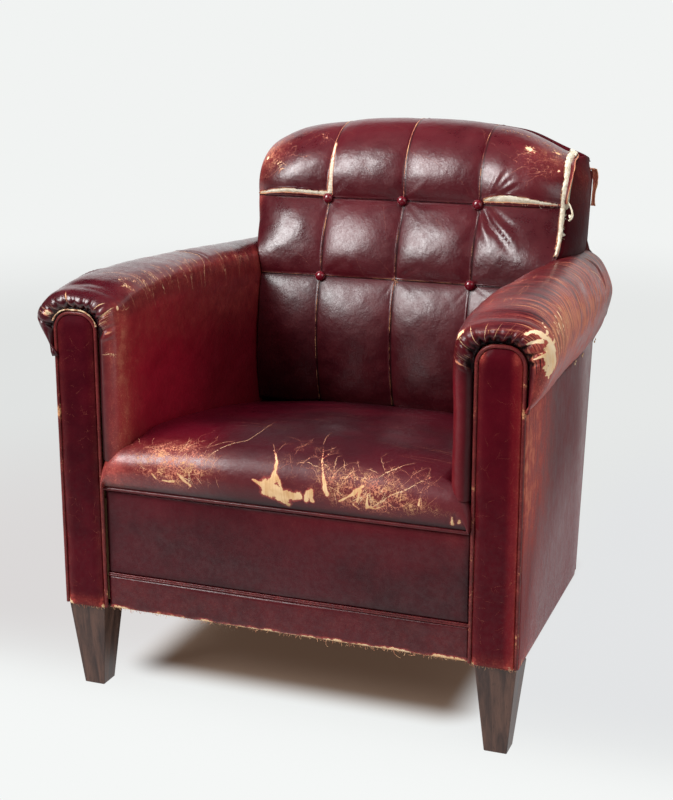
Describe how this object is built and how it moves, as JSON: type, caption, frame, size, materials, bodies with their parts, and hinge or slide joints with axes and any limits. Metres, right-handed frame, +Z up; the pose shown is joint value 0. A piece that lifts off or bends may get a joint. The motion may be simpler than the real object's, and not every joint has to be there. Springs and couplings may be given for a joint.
{
  "type": "club chair",
  "caption": "Worn upholstered leather club chair with rolled arms, tufted back, sprung seat and tapered wooden legs.",
  "frame": {"origin": "centre of the footprint on the floor", "axes": "+Z up, the chair faces -Y, its right-hand arm as seen from the front is at +X"},
  "size_m": [0.8066, 0.7753, 0.8736],
  "materials": {
    "oxblood_leather": "polished oxblood leather, worn through to tan at its edges",
    "worn_leather": "oxblood leather rubbed orange-brown",
    "dark_wood": "dark stained, semi-gloss, worn lighter on its edges",
    "frame_wood": "bare beech",
    "jute_webbing": "woven jute",
    "hessian": "coarse hessian",
    "wadding": "cream cotton wadding",
    "black_cloth": "thin black cloth",
    "spring_steel": "dull coppered wire"
  },
  "bodies": {
    "root": {"apron": "oxblood_leather", "arm_cover_left": "oxblood_leather", "arm_cover_right": "oxblood_leather", "arm_panel_left": "oxblood_leather", "arm_panel_right": "oxblood_leather", "arm_post_left": "frame_wood", "arm_post_right": "frame_wood", "arm_rail_left": "frame_wood", "arm_rail_right": "frame_wood", "arm_stuffing_left": "wadding", "arm_stuffing_right": "wadding", "arm_welt_left": "oxblood_leather", "arm_welt_right": "oxblood_leather", "back_border": "oxblood_leather", "back_canvas": "hessian", "back_cover": "oxblood_leather", "back_post_left": "frame_wood", "back_post_right": "frame_wood", "back_stuffing": "wadding", "back_top_rail": "frame_wood", "button_1": "oxblood_leather", "button_2": "oxblood_leather", "button_3": "oxblood_leather", "button_4": "oxblood_leather", "button_5": "oxblood_leather", "cross_strap_1": "jute_webbing", "cross_strap_2": "jute_webbing", "cross_strap_3": "jute_webbing", "double_welt": "oxblood_leather", "dust_cover": "black_cloth", "front_leg_left": "dark_wood", "front_leg_right": "dark_wood", "front_rail": "frame_wood", "long_strap_1": "jute_webbing", "long_strap_2": "jute_webbing", "long_strap_3": "jute_webbing", "loose_welt_strip": "worn_leather", "lower_back_rail": "frame_wood", "lower_band": "oxblood_leather", "outside_back": "worn_leather", "rear_leg_left": "dark_wood", "rear_leg_right": "dark_wood", "rear_rail": "frame_wood", "seat_cover": "oxblood_leather", "seat_spring_1": "spring_steel", "seat_spring_2": "spring_steel", "seat_spring_3": "spring_steel", "seat_spring_4": "spring_steel", "seat_spring_5": "spring_steel", "seat_spring_6": "spring_steel", "seat_spring_7": "spring_steel", "seat_spring_8": "spring_steel", "seat_spring_9": "spring_steel", "seat_stuffing": "wadding", "seat_welt": "oxblood_leather", "side_panel_left": "worn_leather", "side_panel_right": "worn_leather", "side_rail_left": "frame_wood", "side_rail_right": "frame_wood", "spring_canvas": "hessian"}
  },
  "joints": []
}
